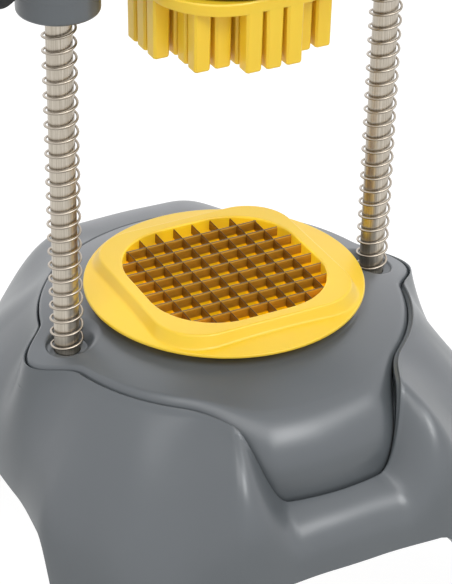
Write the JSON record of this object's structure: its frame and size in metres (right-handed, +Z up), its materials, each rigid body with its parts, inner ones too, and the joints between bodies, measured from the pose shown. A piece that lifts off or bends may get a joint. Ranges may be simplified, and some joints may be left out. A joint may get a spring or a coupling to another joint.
{
  "type": "french fry cutter",
  "caption": "Push-down potato cutter: arched plastic base, lift-out ring of crossed blades, and a sprung head that slides on two steel rods.",
  "frame": {"origin": "on the floor, below the middle of the blade grid, which is the middle of the footprint", "axes": "+X to the right along the line of the two rods and the grips, +Y to the back, +Z up; the chin of the deck faces -Y"},
  "size_m": [0.33, 0.2729, 0.3716],
  "materials": {
    "grey_plastic": "finely textured moulded plastic, mid grey",
    "yellow_plastic": "satin moulded plastic, warm yellow",
    "blade_steel": "brushed stainless steel",
    "rod_steel": "ground stainless steel",
    "spring_steel": "drawn stainless wire",
    "cast_metal": "plain machined plate",
    "zinc_steel": "plated fasteners",
    "dark_rubber": "matt dark rubber",
    "white_polymer": "plain bearing plastic"
  },
  "bodies": {
    "root": {"base_shell": "grey_plastic", "deck_cover": "grey_plastic", "support_frame": "cast_metal", "rubber_foot_1": "dark_rubber", "rubber_foot_2": "dark_rubber", "rubber_foot_3": "dark_rubber", "rubber_foot_4": "dark_rubber", "foot_screw_1": "zinc_steel", "foot_screw_2": "zinc_steel", "foot_screw_3": "zinc_steel", "foot_screw_4": "zinc_steel", "frame_screw_1": "zinc_steel", "frame_screw_2": "zinc_steel", "frame_screw_3": "zinc_steel", "frame_screw_4": "zinc_steel", "deck_screw_1": "zinc_steel", "deck_screw_2": "zinc_steel", "deck_screw_3": "zinc_steel", "deck_screw_4": "zinc_steel", "rod_left": "rod_steel", "rod_washer_left": "zinc_steel", "rod_nut_left": "zinc_steel", "rod_cap_left": "grey_plastic", "spring_left": "spring_steel", "rod_right": "rod_steel", "rod_washer_right": "zinc_steel", "rod_nut_right": "zinc_steel", "rod_cap_right": "grey_plastic", "spring_right": "spring_steel"},
    "blade_insert": {"insert_ring": "yellow_plastic", "lengthwise_blade_1": "blade_steel", "lengthwise_blade_2": "blade_steel", "lengthwise_blade_3": "blade_steel", "lengthwise_blade_4": "blade_steel", "lengthwise_blade_5": "blade_steel", "lengthwise_blade_6": "blade_steel", "lengthwise_blade_7": "blade_steel", "lengthwise_blade_8": "blade_steel", "crosswise_blade_1": "blade_steel", "crosswise_blade_2": "blade_steel", "crosswise_blade_3": "blade_steel", "crosswise_blade_4": "blade_steel", "crosswise_blade_5": "blade_steel", "crosswise_blade_6": "blade_steel", "crosswise_blade_7": "blade_steel", "crosswise_blade_8": "blade_steel"},
    "press_head": {"yoke": "grey_plastic", "yoke_cover": "grey_plastic", "pusher": "yellow_plastic", "pusher_screw_1": "zinc_steel", "pusher_screw_2": "zinc_steel", "pusher_screw_3": "zinc_steel", "pusher_screw_4": "zinc_steel", "guide_bush_left": "white_polymer", "grip_left": "dark_rubber", "guide_bush_right": "white_polymer", "grip_right": "dark_rubber"}
  },
  "joints": [
    {"name": "press_slide", "type": "slide", "parent": "root", "child": "press_head", "axis": [0, 0, 1], "range_m": [-0.13, 0], "stiffness_N_per_m": 160, "springref_m": 0.1, "deforming": ["spring_left", "spring_right"]},
    {"name": "insert_lift", "type": "slide", "parent": "root", "child": "blade_insert", "axis": [0, 0, 1], "range_m": [0, 0.02]}
  ]
}
